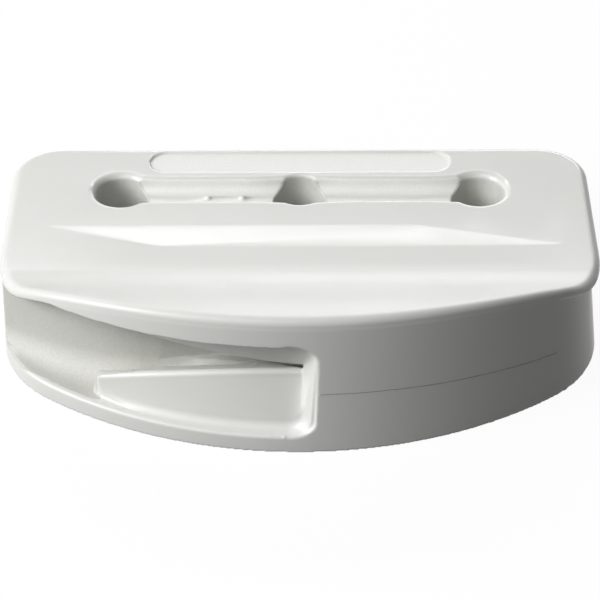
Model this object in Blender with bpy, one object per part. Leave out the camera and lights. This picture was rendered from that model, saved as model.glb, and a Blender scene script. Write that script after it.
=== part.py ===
"""Side-entry rope cleat, moulded in white nylon as one piece.

A D-shaped block lies flat on the deck. Its rear half is a flat flange with three screw bores joined
by a shallow channel. Its front half rises to a crowned hood over the rope way. The rope comes in at
the open left end, lies behind a tongue and under a hood jaw, runs into a toothed V inside the right
half, and leaves through a flared outlet in the right end.

Lengths are in metres. X runs along the cleat, Y from the open front to the rear, Z up from the deck.
The origin is the middle of the underside.
"""

import math

import bmesh
import bpy

# Block in plan, at its foot
LENGTH = 0.0644
DEPTH = 0.0406
FRONT_RADIUS = 0.0450
FRONT_CORNER_RADIUS = 0.0130
REAR_CORNER_RADIUS = 0.0055
RIGHT_DRAFT = 0.0010
LEFT_DRAFT = 0.00015
FRONT_DRAFT = 0.0008
REAR_DRAFT = 0.0006

# Flange, and the lip that overhangs the right end
FLANGE_TOP = 0.0110
TOP_ROUND = 0.0010
LIP_DEPTH = 0.0013
LIP_CHAMFER = 0.0001
LIP_DRAFT = 0.00005

# Hood: a hollow fillet out of the flange, then a long crown to the front
HOOD_START_Y = -0.0031
HOOD_FILLET_RADIUS = 0.0100
HOOD_STEEPEST = math.radians(31.0)
HOOD_CROWN_RADIUS = 0.0320

# Screw bores, the channel that joins them and the bare panel behind them
BORE_PITCH = 0.0198
BORE_Y = 0.0118
BORE_DIAMETER = 0.0066
BORE_MOUTH_ROUND = 0.0005
CHANNEL_WIDTH = 0.0051
CHANNEL_DEPTH = 0.0022
CHANNEL_ROUND = 0.0004
CHANNEL_FLARE = 0.0004
CHANNEL_FLARE_REACH = 0.0060
PANEL_LENGTH = 0.0338
PANEL_WIDTH = 0.0041
PANEL_DEPTH = 0.00025
PANEL_Y = 0.0173

# Pocket in the left half, open to the front and to the left end
FLOOR_TOP = 0.0020
RIM_ROUND = 0.0005
WINDOW_TOP = 0.0131
WINDOW_TOP_FALL = 0.0009
CEILING_DROP = 0.0001
BACK_WALL_LEFT_Y = -0.0030
BACK_WALL_Y = -0.0110
BACK_WALL_RUN = 0.0190
BACK_WALL_POWER = 1.5
BACK_FILLET = 0.0036
BACK_FILLET_LEFT = 0.0020
POCKET_END_X = -0.0166
POCKET_END_SLANT = 0.0021

# Window edge at the right of the pocket
SLOT_END_X = 0.0003
WINDOW_CORNER = 0.0017
JAMB_DRAFT = 0.0012
WINDOW_REACH = 0.0020

# Tongue, the lower jaw that keeps the rope in, set back from the front of the block
TONGUE_TIP_X = -0.0216
TONGUE_TIP_HEIGHT = 0.0046
TONGUE_END_HEIGHT = 0.0083
TONGUE_TIP_SETBACK = 0.0022
TONGUE_END_SETBACK = 0.0037
TONGUE_LEAN = 0.0004
TONGUE_FOOT_FILLET = 0.0011
TONGUE_CREST_ROUND = 0.0006
TONGUE_THICKNESS = 0.0011
TONGUE_BACK_FILLET = 0.0009
TONGUE_TIP_ROUND = 0.0010

# Hood jaw, whose crest comes down to the tongue towards the right
JAW_CREST_X = -0.0145
JAW_CREST_HEIGHT = 0.0122
JAW_CREST_FALL = 0.236
JAW_CREST_SETBACK = 0.0016
JAW_CREST_RETREAT = 0.137
JAW_CREST_BLUNT = 0.0003

# Lead-in between the jaws
LEAD_SLOPE = math.radians(24.0)
LEAD_ROOT_TOP = 0.0094
LEAD_ROOT_END_TOP = 0.0082
LEAD_BITE = 0.00006
LEAD_REACH = 0.0009

# Toothed V inside the right half
VEE_START_X = -0.0036
VEE_FULL_X = 0.0014
VEE_Y = -0.01385
VEE_LEVEL = 0.0075
VEE_HALF_DEPTH = 0.00285
VEE_MOUTH_BELOW = 0.0023
VEE_MOUTH_ABOVE = 0.0029
VEE_ROOT_BELOW = 0.0008
VEE_ROOT_ABOVE = 0.0006
VEE_CORNER = 0.0008
VEE_FLANK_START = 0.0016
VEE_ROOT_CORNER = 0.0004
VEE_ROOT_EASE = 0.0002
VEE_SEED_SHARE = 0.12
TOOTH_START_X = 0.0022
TOOTH_COUNT = 7
TOOTH_PITCH = 0.0020
TOOTH_RAMP = 0.0016
TOOTH_HEIGHT = 0.00045
TOOTH_RAKE = 0.0010

# Outlet in the right end, where the rope leaves
OUTLET_BEND_X = 0.0060
OUTLET_INSET = 0.0017
OUTLET_Y = 0.0012
OUTLET_LEVEL = 0.0049
OUTLET_WIDTH = 0.0054
OUTLET_HEIGHT = 0.0052
OUTLET_CORNER = 0.0009
OUTLET_FLARE = 0.0011
OUTLET_RUN_OUT = 0.0030
HEADING_STEP = 0.0010

# How far a cutter runs past the face that it cuts, and what keeps two cutters out of one plane
OVERRUN = 0.0010
STAGGER = 0.00004

# Facets
FRONT_SEGMENTS = 32
CORNER_SEGMENTS = 9
SIDE_SEGMENTS = 3
REAR_SEGMENTS = 1
REAR_CORNER_SEGMENTS = 6
ROUND_SEGMENTS = 3
TIP_SEGMENTS = 4
FILLET_SEGMENTS = 4
BORE_SEGMENTS = 32
CHANNEL_STATIONS = 20
PANEL_SEGMENTS = 8
POCKET_STATIONS = 10
CEILING_ROWS = 8
JAW_STATIONS = 14
JAMB_SEGMENTS = 6
STOCK_STATIONS = 4
OUTLET_STATIONS = 8
MOUTH_STATIONS = 3

# Finish
NYLON_COLOUR = (0.80, 0.80, 0.78, 1.0)
NYLON_ROUGHNESS = 0.25
SHARP_EDGE = math.radians(28.0)

HALF_LENGTH = LENGTH / 2
FRONT_Y = -DEPTH / 2
REAR_Y = DEPTH / 2
DOWN = -math.pi / 2
OUTLET_X = HALF_LENGTH - OUTLET_INSET


def clear_scene():
    """Removes whatever the scene holds."""
    for obj in list(bpy.data.objects):
        bpy.data.objects.remove(obj, do_unlink=True)


def blend(start, end, share):
    """The value this share of the way from start to end."""
    return start + (end - start) * share


def share_between(value, start, end):
    """How far value is from start to end, kept within 0 and 1."""
    return min(max((value - start) / (end - start), 0.0), 1.0)


def ease(share):
    """An S-curve from 0 to 1."""
    return share * share * (3 - 2 * share)


def turn_points(centre_a, centre_b, radius, start, end, segments):
    """Points round an arc in any plane, both ends included."""
    points = []
    for step in range(segments + 1):
        angle = blend(start, end, step / segments)
        points.append((centre_a + radius * math.cos(angle), centre_b + radius * math.sin(angle)))
    return points


def line_points(start, end, segments):
    """Points along a straight line, both ends included."""
    shares = [step / segments for step in range(segments + 1)]
    return [(blend(start[0], end[0], s), blend(start[1], end[1], s)) for s in shares]


def block_outline(half_length, front_y, rear_y, inset=0.0):
    """The D in plan, anticlockwise from the left end of the front arc."""
    side_x = half_length - inset
    low_y = front_y + inset
    top_y = rear_y - inset
    radius = FRONT_RADIUS - inset
    corner = FRONT_CORNER_RADIUS - inset
    rear = REAR_CORNER_RADIUS - inset
    arc_y = low_y + radius
    corner_x = side_x - corner
    corner_y = arc_y - math.sqrt((radius - corner) ** 2 - corner_x**2)
    turn = math.asin(corner_x / (radius - corner))
    rear_x = side_x - rear
    rear_low = top_y - rear
    half_turn = math.pi / 2
    left_turn = math.pi
    runs = [
        turn_points(0, arc_y, radius, DOWN - turn, DOWN + turn, FRONT_SEGMENTS),
        turn_points(corner_x, corner_y, corner, DOWN + turn, 0, CORNER_SEGMENTS),
        line_points((side_x, corner_y), (side_x, rear_low), SIDE_SEGMENTS),
        turn_points(rear_x, rear_low, rear, 0, half_turn, REAR_CORNER_SEGMENTS),
        line_points((rear_x, top_y), (-rear_x, top_y), REAR_SEGMENTS),
        turn_points(-rear_x, rear_low, rear, half_turn, left_turn, REAR_CORNER_SEGMENTS),
        line_points((-side_x, rear_low), (-side_x, corner_y), SIDE_SEGMENTS),
        turn_points(-corner_x, corner_y, corner, -left_turn, DOWN - turn, CORNER_SEGMENTS),
    ]
    return [point for run in runs for point in run[:-1]]


def top_height(y):
    """Height of the upper surface, flange and hood, over the deck."""
    run = HOOD_START_Y - y
    if run <= 0:
        return FLANGE_TOP
    fillet_run = HOOD_FILLET_RADIUS * math.sin(HOOD_STEEPEST)
    if run <= fillet_run:
        return FLANGE_TOP + HOOD_FILLET_RADIUS - math.sqrt(HOOD_FILLET_RADIUS**2 - run**2)
    fillet_rise = HOOD_FILLET_RADIUS * (1 - math.cos(HOOD_STEEPEST))
    sine = math.sin(HOOD_STEEPEST) - (run - fillet_run) / HOOD_CROWN_RADIUS
    crown_rise = HOOD_CROWN_RADIUS * (math.sqrt(1 - sine**2) - math.cos(HOOD_STEEPEST))
    return FLANGE_TOP + fillet_rise + crown_rise


def underside_height(y):
    """Height of the lip's underside, which follows the top."""
    return top_height(y) - LIP_DEPTH


def ceiling_height(x, y):
    """Height of the pocket's ceiling: the window's top line, or the lip where that is lower."""
    line = WINDOW_TOP - WINDOW_TOP_FALL * (x / HALF_LENGTH) ** 2
    return min(line, underside_height(y) - CEILING_DROP)


def foot_outline(inset=0.0):
    """The block's outline on the deck."""
    return block_outline(HALF_LENGTH, FRONT_Y, REAR_Y, inset)


def neck_outline(inset=0.0):
    """The block's outline just under the lip, with its own draft at each end."""
    front_y = FRONT_Y + FRONT_DRAFT
    rear_y = REAR_Y - REAR_DRAFT
    right = block_outline(HALF_LENGTH - RIGHT_DRAFT, front_y, rear_y, inset)
    left = block_outline(HALF_LENGTH - LEFT_DRAFT, front_y, rear_y, inset)
    return [a if b[0] > 0 else b for a, b in zip(right, left)]


def wall_outline(height, inset):
    """The drafted wall's outline at one height."""
    points = []
    for low, high in zip(foot_outline(inset), neck_outline(inset)):
        share = height / underside_height(high[1])
        points.append((blend(low[0], high[0], share), blend(low[1], high[1], share)))
    return points


def facet_middles(outline):
    """The middle of each facet, so that a cutter's corners never meet the wall's."""
    following = outline[1:] + outline[:1]
    return [((a[0] + b[0]) / 2, (a[1] + b[1]) / 2) for a, b in zip(outline, following)]


def foot_wall_y(x):
    """Y of the front wall's foot at this X."""
    return FRONT_Y + FRONT_RADIUS - math.sqrt(FRONT_RADIUS**2 - x**2)


def front_wall_y(x, height):
    """Y of the drafted front wall at this X and height."""
    neck_y = foot_wall_y(x) + FRONT_DRAFT
    return foot_wall_y(x) + FRONT_DRAFT * height / underside_height(neck_y)


def finish_mesh(bm, name):
    """Turns the bmesh into a triangle mesh that faces out."""
    bmesh.ops.triangulate(bm, faces=bm.faces[:])
    bmesh.ops.recalc_face_normals(bm, faces=bm.faces[:])
    mesh = bpy.data.meshes.new(name)
    bm.to_mesh(mesh)
    bm.free()
    return mesh


def join_rings(bm, lower, upper):
    """Quads between two rings with as many vertices each."""
    count = len(lower)
    for index in range(count):
        following = (index + 1) % count
        bm.faces.new((lower[index], lower[following], upper[following], upper[index]))


def add_object(name, mesh):
    """Puts a mesh into the scene."""
    obj = bpy.data.objects.new(name, mesh)
    bpy.context.scene.collection.objects.link(obj)
    return obj


def loft(name, sections):
    """A closed helper solid through sections that have as many points each."""
    bm = bmesh.new()
    rings = [[bm.verts.new(point) for point in section] for section in sections]
    for lower, upper in zip(rings, rings[1:]):
        join_rings(bm, lower, upper)
    bm.faces.new(rings[0])
    bm.faces.new(rings[-1])
    obj = add_object(name, finish_mesh(bm, name))
    obj.hide_render = True
    obj.display_type = "WIRE"
    return obj


def apply_boolean(body, tool, operation):
    """Cuts or joins one helper. MANIFOLD steps in where EXACT leaves an empty mesh."""
    for solver in ("EXACT", "MANIFOLD"):
        modifier = body.modifiers.new(tool.name, "BOOLEAN")
        modifier.operation = operation
        modifier.solver = solver
        modifier.use_self = True
        modifier.object = tool
        bpy.context.view_layer.update()
        graph = bpy.context.evaluated_depsgraph_get()
        mesh = bpy.data.meshes.new_from_object(body.evaluated_get(graph))
        body.modifiers.clear()
        if mesh.polygons:
            break
    body.data = mesh
    bpy.data.objects.remove(tool, do_unlink=True)


def block():
    """The block before it is cut: drafted walls, lip, rounded top edge and crowned top."""
    bm = bmesh.new()
    lip_front = FRONT_Y + FRONT_DRAFT
    brow_front = lip_front + LIP_DRAFT
    rings = [[(x, y, 0.0) for x, y in foot_outline()]]
    rings.append([(x, y, underside_height(y)) for x, y in neck_outline()])
    lip = block_outline(HALF_LENGTH, lip_front + STAGGER, REAR_Y)
    rings.append([(x, y, underside_height(y) + LIP_CHAMFER) for x, y in lip])
    for step in range(ROUND_SEGMENTS + 1):
        angle = math.pi / 2 * step / ROUND_SEGMENTS
        inset = TOP_ROUND * (1 - math.cos(angle))
        drop = TOP_ROUND * (1 - math.sin(angle))
        brow = block_outline(HALF_LENGTH, brow_front, REAR_Y, inset)
        rings.append([(x, y, top_height(y) - drop) for x, y in brow])
    rings = [[bm.verts.new(point) for point in ring] for ring in rings]
    for lower, upper in zip(rings, rings[1:]):
        join_rings(bm, lower, upper)
    bm.faces.new(list(reversed(rings[0])))
    cap = rings[-1]
    middle = FRONT_SEGMENTS // 2
    half = len(cap) // 2
    for step in range(half):
        strip = [(middle - step) % len(cap), (middle + step) % len(cap)]
        strip += [(middle + step + 1) % len(cap), (middle - step - 1) % len(cap)]
        bm.faces.new([cap[index] for index in dict.fromkeys(strip)])
    return add_object("cleat_body", finish_mesh(bm, "cleat_body"))


def back_wall_y(x):
    """Where the pocket's back wall stands: it sweeps forward from the left end to the lead-in."""
    share = share_between(x, -HALF_LENGTH, BACK_WALL_RUN - HALF_LENGTH)
    return blend(BACK_WALL_Y, BACK_WALL_LEFT_Y, (1 - share) ** BACK_WALL_POWER)


def pocket_places():
    """(X, flare) of the pocket's sections. The flare rounds its edge at the left end."""
    places = [(-HALF_LENGTH - OVERRUN, RIM_ROUND)]
    for step in range(ROUND_SEGMENTS + 1):
        angle = math.pi / 2 * step / ROUND_SEGMENTS
        inward = RIM_ROUND * (1 - math.cos(angle)) - STAGGER
        places.append((inward - HALF_LENGTH, RIM_ROUND * (1 - math.sin(angle))))
    start_x = places[-1][0]
    for station in range(1, POCKET_STATIONS + 1):
        places.append((blend(start_x, POCKET_END_X, station / POCKET_STATIONS), 0.0))
    return places


def pocket_tool():
    """The pocket: floor, hollow corner, back wall and ceiling, with a slanted right end."""
    front_y = FRONT_Y - OVERRUN
    slant_y = tongue_foot_y(POCKET_END_X)
    sections = []
    for x, flare in pocket_places():
        slant = POCKET_END_SLANT if x == POCKET_END_X else 0.0
        back_y = back_wall_y(x + slant) + flare
        floor_z = FLOOR_TOP - flare
        fillet = blend(BACK_FILLET_LEFT, BACK_FILLET, share_between(x, -HALF_LENGTH, POCKET_END_X))
        profile = [(front_y, floor_z)]
        profile += turn_points(back_y - fillet, floor_z + fillet, fillet, DOWN, 0, FILLET_SEGMENTS)
        for row in range(CEILING_ROWS + 1):
            y = blend(back_y, front_y, row / CEILING_ROWS)
            profile.append((y, ceiling_height(x, y)))
        sections.append([(x + slant * share_between(y, slant_y, BACK_WALL_Y), y, z) for y, z in profile])
    return loft("pocket_tool", sections)


def rim_tool():
    """Rounds the floor's front rim, from the left end to the window's edge."""
    height = FLOOR_TOP - RIM_ROUND
    outer = facet_middles(wall_outline(FLOOR_TOP, -OVERRUN))
    bands = []
    for inset, level in turn_points(RIM_ROUND, height, RIM_ROUND, math.pi, math.pi / 2, ROUND_SEGMENTS):
        bands.append((facet_middles(wall_outline(height, inset - STAGGER)), level))
    top = FLOOR_TOP + OVERRUN
    sections = []
    for index in range(len(outer)):
        x, y = outer[index]
        section = [(x, y, top), (x, y, height)]
        section += [(band[index][0], band[index][1], level) for band, level in bands]
        section.append((section[-1][0], section[-1][1], top))
        sections.append(section)
    end_x = SLOT_END_X - WINDOW_CORNER - RIM_ROUND / 2
    limit_y = BACK_WALL_LEFT_Y - BACK_FILLET_LEFT
    left_first = sections[-CORNER_SEGMENTS - SIDE_SEGMENTS :] + sections[:FRONT_SEGMENTS]
    low_part = [section for section in left_first if section[2][1] < limit_y]
    kept = [section for section in low_part if section[1][0] < end_x]
    beyond = low_part[len(kept)]
    share = share_between(end_x, kept[-1][1][0], beyond[1][0])
    end = [tuple(blend(a, b, share) for a, b in zip(*pair)) for pair in zip(kept[-1], beyond)]
    run_in = [(x - OVERRUN, y + OVERRUN, z) for x, y, z in kept[0]]
    return loft("rim_tool", [run_in] + kept + [end])


def tongue_share(x):
    """0 at the tongue's tip and 1 at the jamb, rising fast at first."""
    return 1 - (1 - share_between(x, TONGUE_TIP_X, SLOT_END_X)) ** 2


def tongue_crest(x):
    """(Y, Z) of the top of the tongue."""
    share = tongue_share(x)
    y = foot_wall_y(x) + blend(TONGUE_TIP_SETBACK, TONGUE_END_SETBACK, share)
    return y, blend(TONGUE_TIP_HEIGHT, TONGUE_END_HEIGHT, share)


def tongue_foot_y(x):
    """Where the tongue's face would meet the floor without its fillet."""
    return tongue_crest(x)[0] - TONGUE_CREST_ROUND - TONGUE_LEAN * tongue_share(x)


def jaw_crest(x):
    """(Y, Z) of the hood jaw's edge, which starts at the ceiling and falls to the right."""
    along = x - JAW_CREST_X
    y = foot_wall_y(x) + JAW_CREST_SETBACK + JAW_CREST_RETREAT * along
    ceiling = ceiling_height(x, y) - JAW_CREST_BLUNT
    return y, min(JAW_CREST_HEIGHT - JAW_CREST_FALL * along, ceiling)


def tongue_stock():
    """The free end of the tongue, before the window trims its front and the lead-in its top."""
    end_x = POCKET_END_X + POCKET_END_SLANT
    low = FLOOR_TOP - OVERRUN
    high = TONGUE_END_HEIGHT + OVERRUN
    places = []
    for step in range(1, TIP_SEGMENTS + 1):
        angle = math.pi / 2 * step / TIP_SEGMENTS
        x = TONGUE_TIP_X + TONGUE_TIP_ROUND * (1 - math.cos(angle))
        places.append((x, math.sin(angle), 0.0))
    full_x = TONGUE_TIP_X + TONGUE_TIP_ROUND
    for step in range(1, STOCK_STATIONS + 1):
        places.append((blend(full_x, end_x, step / STOCK_STATIONS), 1.0, OVERRUN))
    sections = []
    for x, fullness, reach in places:
        crest_y = tongue_crest(x)[0]
        middle_y = crest_y + (TONGUE_THICKNESS - TONGUE_CREST_ROUND) / 2
        front_y = blend(middle_y, tongue_foot_y(x) - STAGGER - reach, fullness)
        back_y = blend(middle_y, crest_y + TONGUE_THICKNESS, fullness)
        foot_y = back_y + TONGUE_BACK_FILLET
        profile = [(front_y, high), (front_y, low), (foot_y, low)]
        corner_z = FLOOR_TOP - STAGGER + TONGUE_BACK_FILLET
        profile += turn_points(foot_y, corner_z, TONGUE_BACK_FILLET, DOWN, -math.pi, ROUND_SEGMENTS)
        profile.append((back_y, high))
        sections.append([(x, y, z) for y, z in profile])
    return loft("tongue_stock", sections)


def frame_edge(x, wall_y, height, x_swell, z_swell):
    """The rounded edge of the window's frame at one place, from outside to inside."""
    points = [(x + x_swell, FRONT_Y - OVERRUN, height + z_swell)]
    for step in range(ROUND_SEGMENTS + 1):
        angle = math.pi / 2 * (1 - step / ROUND_SEGMENTS)
        out = 1 - math.cos(angle)
        y = wall_y - STAGGER + RIM_ROUND * (1 - math.sin(angle))
        points.append((x + x_swell * out, y, height + z_swell * out))
    return points


def window_section(back_x, front_x, rise, turn, rounded):
    """The window in front of both jaws: floor, tongue face, jaw face and lip."""
    crest_y, crest_z = tongue_crest(back_x)
    jaw_y, jaw_z = jaw_crest(back_x)
    floor_z = FLOOR_TOP + rise
    wall_y = front_wall_y(back_x, FLOOR_TOP)
    foot_y = tongue_foot_y(back_x)
    high_y = front_wall_y(back_x, WINDOW_TOP)
    lip_z = ceiling_height(back_x, high_y) - STAGGER - rise
    fillet = TONGUE_FOOT_FILLET
    corner = turn_points(foot_y - fillet, floor_z + fillet, fillet, DOWN, 0, ROUND_SEGMENTS)
    crest_low = crest_z - TONGUE_CREST_ROUND
    crest_end = math.pi / 2 - LEAD_SLOPE
    crest = turn_points(crest_y, crest_low, TONGUE_CREST_ROUND, math.pi, crest_end, FILLET_SEGMENTS)
    x_swell = RIM_ROUND * math.sin(turn) * rounded
    z_swell = RIM_ROUND * math.cos(turn) * rounded
    section = frame_edge(front_x, wall_y, floor_z, x_swell, -z_swell)
    for y, z in corner:
        section.append((blend(front_x, back_x, share_between(y, wall_y, foot_y)), y, z))
    section += [(back_x, y, z) for y, z in crest]
    section.append((back_x, jaw_y, jaw_z))
    return section + frame_edge(front_x, high_y, lip_z, x_swell, z_swell)[::-1]


def window_tool():
    """Cuts the window from left of the tongue to the jamb with its rounded corners."""
    start_x = TONGUE_TIP_X - WINDOW_REACH
    corner_x = SLOT_END_X - WINDOW_CORNER
    plain_x = corner_x - RIM_ROUND
    sections = []
    for station in range(JAW_STATIONS + 1):
        x = blend(start_x, plain_x, station / JAW_STATIONS)
        sections.append(window_section(x, x, 0.0, 0.0, False))
    for step in range(JAMB_SEGMENTS + 1):
        angle = math.pi / 2 * step / JAMB_SEGMENTS
        back_x = corner_x + WINDOW_CORNER * math.sin(angle)
        front_x = back_x + JAMB_DRAFT * math.sin(angle)
        rise = WINDOW_CORNER * (1 - math.cos(angle))
        sections.append(window_section(back_x, front_x, rise, angle, True))
    return loft("window_tool", sections)


def lead_tool():
    """Cuts the lead-in between the two jaws, with a blunt root at the back wall."""
    start_x = TONGUE_TIP_X - OVERRUN
    tangent_y = TONGUE_CREST_ROUND * math.sin(LEAD_SLOPE)
    tangent_z = TONGUE_CREST_ROUND * math.cos(LEAD_SLOPE) - TONGUE_CREST_ROUND - LEAD_BITE
    sections = []
    for station in range(JAW_STATIONS + 1):
        x = blend(start_x, SLOT_END_X, station / JAW_STATIONS)
        crest_y, crest_z = tongue_crest(x)
        jaw_y, jaw_z = jaw_crest(x)
        front_y = min(crest_y, jaw_y) - LEAD_REACH
        root_y = BACK_WALL_Y + STAGGER
        root_top = blend(LEAD_ROOT_TOP, LEAD_ROOT_END_TOP, station / JAW_STATIONS)
        pivot_z = crest_z + tangent_z
        front_z = pivot_z + (crest_y + tangent_y - front_y) * math.tan(LEAD_SLOPE)
        root_z = pivot_z + (crest_y + tangent_y - root_y) * math.tan(LEAD_SLOPE)
        jaw_z = max(jaw_z, front_z + STAGGER)
        section = [(front_y, front_z), (root_y, root_z), (root_y, root_top)]
        section += [(jaw_y - JAW_CREST_BLUNT, jaw_z), (front_y, jaw_z)]
        sections.append([(x, y, z) for y, z in section])
    return loft("lead_tool", sections)


def vee_profile(squeeze):
    """(across, up) points of the V, mouth first. Squeeze moves its two toothed faces together."""
    mouth = -VEE_HALF_DEPTH
    root = VEE_HALF_DEPTH
    low = -VEE_MOUTH_BELOW
    high = VEE_MOUTH_ABOVE
    return [
        (mouth, low + VEE_CORNER),
        (mouth + VEE_CORNER, low),
        (mouth + VEE_FLANK_START, low + squeeze),
        (root - VEE_CORNER, squeeze - VEE_ROOT_BELOW - VEE_ROOT_EASE),
        (root, VEE_ROOT_CORNER - VEE_ROOT_BELOW),
        (root, VEE_ROOT_ABOVE - VEE_ROOT_CORNER),
        (root - VEE_CORNER, VEE_ROOT_ABOVE + VEE_ROOT_EASE - squeeze),
        (mouth + VEE_FLANK_START, high - squeeze),
        (mouth + VEE_CORNER, high),
        (mouth, high - VEE_CORNER),
    ]


def outlet_profile():
    """(across, up) points of the outlet, in the order of the V's."""
    side = OUTLET_WIDTH / 2
    high = OUTLET_HEIGHT / 2
    side_end = side - OUTLET_CORNER
    high_end = high - OUTLET_CORNER
    low_half = [(-side, -high_end), (-side_end, -high), (0.0, -high), (side_end, -high), (side, -high_end)]
    return low_half + [(across, -up) for across, up in reversed(low_half)]


def rope_way_tool():
    """The closed rope way: it grows out of the lead-in, runs as a toothed V and bends to the outlet."""
    def station(x, squeeze, size, flare):
        share = ease(share_between(x, OUTLET_BEND_X, OUTLET_X))
        centre_y = blend(VEE_Y, OUTLET_Y, share)
        level = blend(VEE_LEVEL, OUTLET_LEVEL, share)
        next_share = ease(share_between(x + HEADING_STEP, OUTLET_BEND_X, OUTLET_X))
        heading = math.atan2(blend(VEE_Y, OUTLET_Y, next_share) - centre_y, HEADING_STEP)
        scale = 1 + flare / (OUTLET_WIDTH / 2)
        section = []
        for vee, outlet in zip(vee_profile(squeeze), outlet_profile()):
            across = blend(vee[0], outlet[0], share) * size * scale
            up = blend(vee[1], outlet[1], share) * size * scale
            rake = TOOTH_RAKE * across / VEE_HALF_DEPTH * (1 - share)
            along_x = x + rake - across * math.sin(heading)
            section.append((along_x, centre_y + across * math.cos(heading), level + up))
        return section

    sections = [station(VEE_START_X, 0.0, VEE_SEED_SHARE, 0.0), station(VEE_FULL_X, 0.0, 1.0, 0.0)]
    for tooth in range(TOOTH_COUNT):
        x = TOOTH_START_X + TOOTH_PITCH * tooth
        sections.append(station(x, 0.0, 1.0, 0.0))
        sections.append(station(x + TOOTH_RAMP, TOOTH_HEIGHT, 1.0, 0.0))
    bend_x = TOOTH_START_X + TOOTH_PITCH * TOOTH_COUNT
    for step in range(OUTLET_STATIONS + 1):
        x = blend(bend_x, OUTLET_X, step / OUTLET_STATIONS)
        sections.append(station(x, 0.0, 1.0, 0.0))
    for step in range(1, MOUTH_STATIONS + 1):
        share = step / MOUTH_STATIONS
        sections.append(station(OUTLET_X + OUTLET_RUN_OUT * share, 0.0, 1.0, OUTLET_FLARE * share**2))
    return loft("rope_way_tool", sections)


def bore_tool(x):
    """One screw bore with its rounded mouth."""
    radius = BORE_DIAMETER / 2
    round_z = FLANGE_TOP - BORE_MOUTH_ROUND
    wide = radius + BORE_MOUTH_ROUND
    mouth = turn_points(wide, round_z, BORE_MOUTH_ROUND, math.pi, math.pi / 2, ROUND_SEGMENTS)
    profile = [(radius, -OVERRUN)] + mouth[:-1]
    profile += [(wide - STAGGER, FLANGE_TOP + STAGGER), (wide, FLANGE_TOP + OVERRUN)]
    sections = []
    for ring_radius, z in profile:
        ring = turn_points(0, 0, ring_radius, 0, 2 * math.pi, BORE_SEGMENTS)[:-1]
        sections.append([(x + across, BORE_Y + along, z) for across, along in ring])
    return loft("bore_tool", sections)


def channel_tool():
    """The channel between the outer bores, a little wider where it meets each bore."""
    bores = (-BORE_PITCH, 0.0, BORE_PITCH)
    floor_z = FLANGE_TOP - CHANNEL_DEPTH
    r = CHANNEL_ROUND
    sections = []
    for station in range(CHANNEL_STATIONS + 1):
        end_x = BORE_PITCH + CHANNEL_ROUND
        x = blend(-end_x, end_x, station / CHANNEL_STATIONS)
        near = max(1 - abs(x - bore) / CHANNEL_FLARE_REACH for bore in bores)
        half = CHANNEL_WIDTH / 2 + CHANNEL_FLARE * ease(max(near, 0.0))
        foot = turn_points(half - r, floor_z + r, r, DOWN, 0, ROUND_SEGMENTS)
        brim = turn_points(half + r, FLANGE_TOP - r, r, math.pi, math.pi / 2, ROUND_SEGMENTS)[:-1]
        side = foot + brim + [(half + r - STAGGER, FLANGE_TOP + STAGGER), (half + r, FLANGE_TOP + OVERRUN)]
        profile = side + [(-across, z) for across, z in reversed(side)]
        sections.append([(x, BORE_Y + across, z) for across, z in profile])
    return loft("channel_tool", sections)


def panel_tool():
    """The bare stadium panel, a shallow recess behind the bores."""
    half = PANEL_WIDTH / 2
    end_x = (PANEL_LENGTH - PANEL_WIDTH) / 2
    quarter = math.pi / 2
    ring = turn_points(end_x, PANEL_Y, half, -quarter, quarter, PANEL_SEGMENTS)
    ring += turn_points(-end_x, PANEL_Y, half, quarter, 3 * quarter, PANEL_SEGMENTS)
    levels = (FLANGE_TOP - PANEL_DEPTH, FLANGE_TOP + OVERRUN)
    return loft("panel_tool", [[(x, y, z) for x, y in ring] for z in levels])


def nylon():
    """White nylon with the gloss of a polished mould."""
    material = bpy.data.materials.new("white_nylon")
    material.use_nodes = True
    shader = material.node_tree.nodes["Principled BSDF"]
    shader.inputs["Base Color"].default_value = NYLON_COLOUR
    shader.inputs["Roughness"].default_value = NYLON_ROUGHNESS
    return material


def main():
    """Builds the block, cuts it step by step and gives it its material."""
    clear_scene()
    body = block()
    apply_boolean(body, pocket_tool(), "DIFFERENCE")
    apply_boolean(body, tongue_stock(), "UNION")
    apply_boolean(body, window_tool(), "DIFFERENCE")
    apply_boolean(body, rim_tool(), "DIFFERENCE")
    apply_boolean(body, lead_tool(), "DIFFERENCE")
    apply_boolean(body, rope_way_tool(), "DIFFERENCE")
    apply_boolean(body, channel_tool(), "DIFFERENCE")
    for x in (-BORE_PITCH, 0.0, BORE_PITCH):
        apply_boolean(body, bore_tool(x), "DIFFERENCE")
    apply_boolean(body, panel_tool(), "DIFFERENCE")
    body.data.materials.clear()
    body.data.materials.append(nylon())
    body.data.shade_smooth()
    body.data.set_sharp_from_angle(angle=SHARP_EDGE)


if __name__ == "__main__":
    main()
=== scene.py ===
"""White moulded side-entry rope cleat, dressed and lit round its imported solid.

The body is built again from its own sizes at a finer grain than the solid, so that every moulded edge is
soft, and it stands for the solid node. Lengths in the classes are in millimetres. X runs along the cleat,
Y from the open front to the rear, Z up from the deck.
"""

import logging
import math
from dataclasses import dataclass, field
from enum import Enum

import bmesh
import bpy
import numpy as np
from mathutils import Matrix, Vector


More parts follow.
